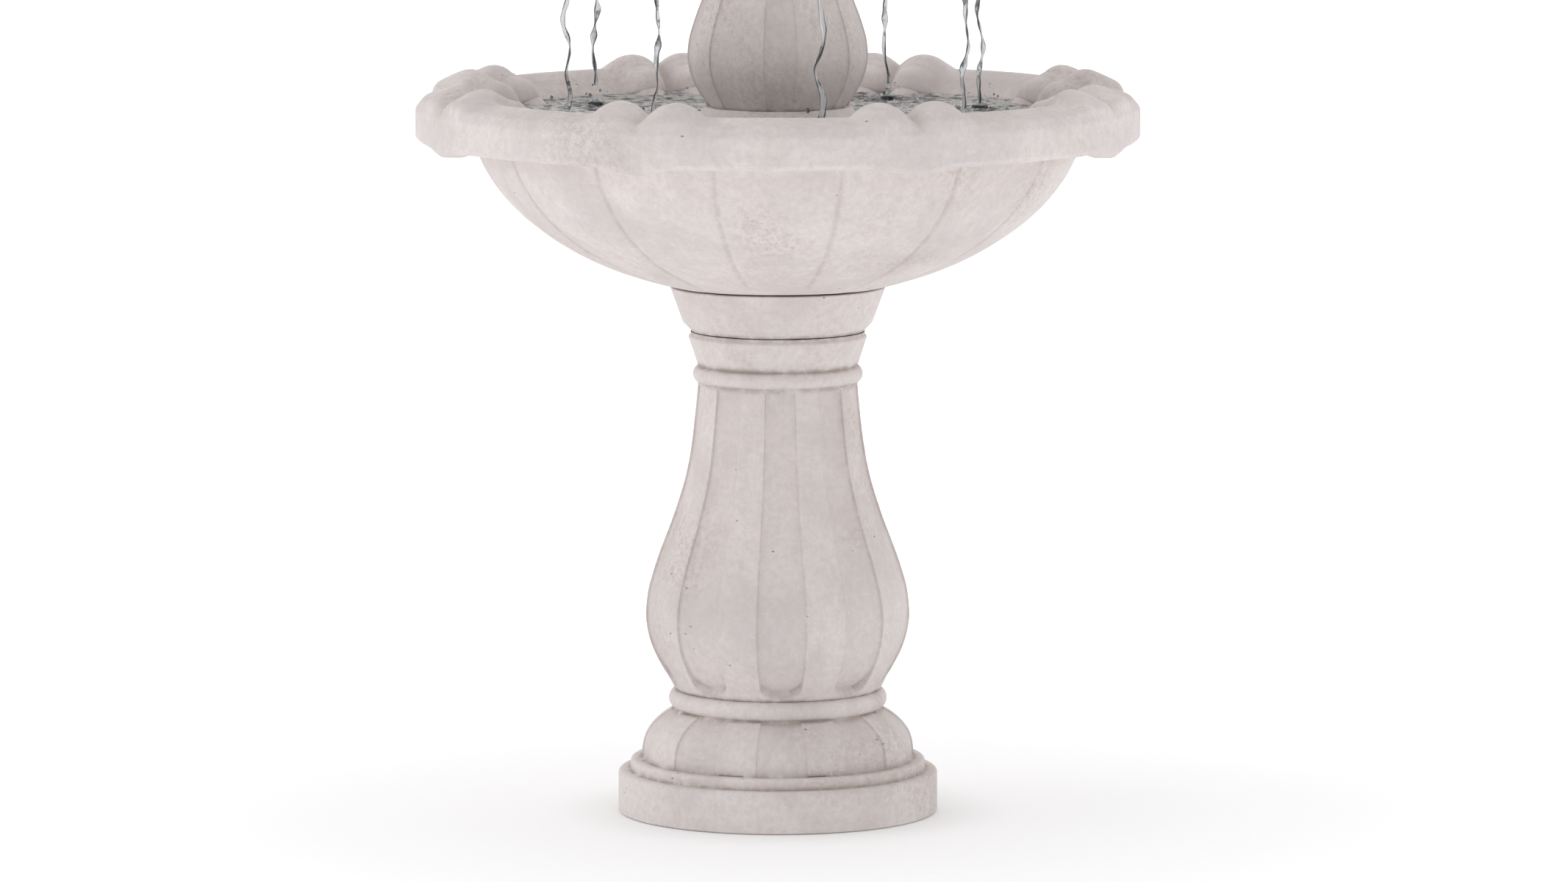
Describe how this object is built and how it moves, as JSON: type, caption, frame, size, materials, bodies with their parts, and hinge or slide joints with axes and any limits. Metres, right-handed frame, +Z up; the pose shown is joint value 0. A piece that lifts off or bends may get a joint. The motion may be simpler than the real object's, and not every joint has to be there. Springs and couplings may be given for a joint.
{
  "type": "bird bath",
  "caption": "Tiered cast-stone bird bath with a fluted pedestal, lobed bowls, a finial and a recirculating pump.",
  "frame": {"origin": "on the ground, under the axis of the pedestal", "axes": "+Z up along the axis; -Y is the front; the pump's shaft lies along X"},
  "size_m": [0.6999, 0.7, 1.1339],
  "materials": {
    "cast_stone": "matt cast stone",
    "black_rubber": "matt",
    "clear_rubber": "satin",
    "black_plastic": "fine texture",
    "grey_plastic": "satin",
    "white_plastic": "satin",
    "magnet": "ground ferrite",
    "ceramic_shaft": "polished",
    "lamination_steel": "stacked sheet",
    "copper_winding": "enamelled copper wire",
    "resin": "cast resin",
    "screw_steel": "bright",
    "vinyl_tube": "clear vinyl",
    "brass": "dull"
  },
  "bodies": {
    "pedestal": {"foot_pads": "black_rubber", "pedestal_base": "cast_stone", "pedestal_shaft": "cast_stone", "pedestal_capital": "cast_stone", "bowl_setting_pads": "black_rubber"},
    "lower_bowl": {"lower_bowl": "cast_stone", "bowl_stopper": "black_rubber", "stator_core": "lamination_steel", "motor_coil": "copper_winding", "pump_casing": "black_plastic", "motor_potting": "resin", "rotor_shaft": "ceramic_shaft", "shaft_bushes": "black_rubber", "volute_cover": "black_plastic", "cover_gasket": "black_rubber", "cover_screws": "screw_steel", "intake_cage": "black_plastic", "pump_feet": "clear_rubber", "cord_gland": "black_rubber", "outlet_adapter": "black_plastic", "riser_tube": "vinyl_tube"},
    "pump_cover": {"pump_cover": "cast_stone", "pump_cover_feet": "cast_stone"},
    "upper_column": {"column_shaft": "cast_stone", "column_capital": "cast_stone", "tier_setting_pads": "black_rubber"},
    "upper_bowl": {"upper_bowl": "cast_stone", "tube_seal": "black_rubber"},
    "finial": {"finial": "cast_stone", "nozzle": "brass"},
    "rotor": {"rotor_magnet": "magnet", "impeller": "white_plastic"},
    "regulator": {"flow_regulator": "grey_plastic"}
  },
  "joints": [
    {"name": "bowl_lift", "type": "slide", "parent": "pedestal", "child": "lower_bowl", "axis": [0, 0, 1], "range_m": [0, 0.1]},
    {"name": "cover_lift", "type": "slide", "parent": "lower_bowl", "child": "pump_cover", "axis": [0, 0, 1], "range_m": [0, 0.12]},
    {"name": "column_lift", "type": "slide", "parent": "pump_cover", "child": "upper_column", "axis": [0, 0, 1], "range_m": [0, 0.08]},
    {"name": "upper_bowl_lift", "type": "slide", "parent": "upper_column", "child": "upper_bowl", "axis": [0, 0, 1], "range_m": [0, 0.08]},
    {"name": "finial_lift", "type": "slide", "parent": "upper_bowl", "child": "finial", "axis": [0, 0, 1], "range_m": [0, 0.08]},
    {"name": "impeller_spin", "type": "hinge", "parent": "lower_bowl", "child": "rotor", "pos_m": [0.01, 0, 0.582], "axis": [1, 0, 0], "continuous": true},
    {"name": "flow_regulator_turn", "type": "hinge", "parent": "lower_bowl", "child": "regulator", "pos_m": [-0.032, 0, 0.582], "axis": [1, 0, 0], "range_deg": [0, 90]}
  ]
}
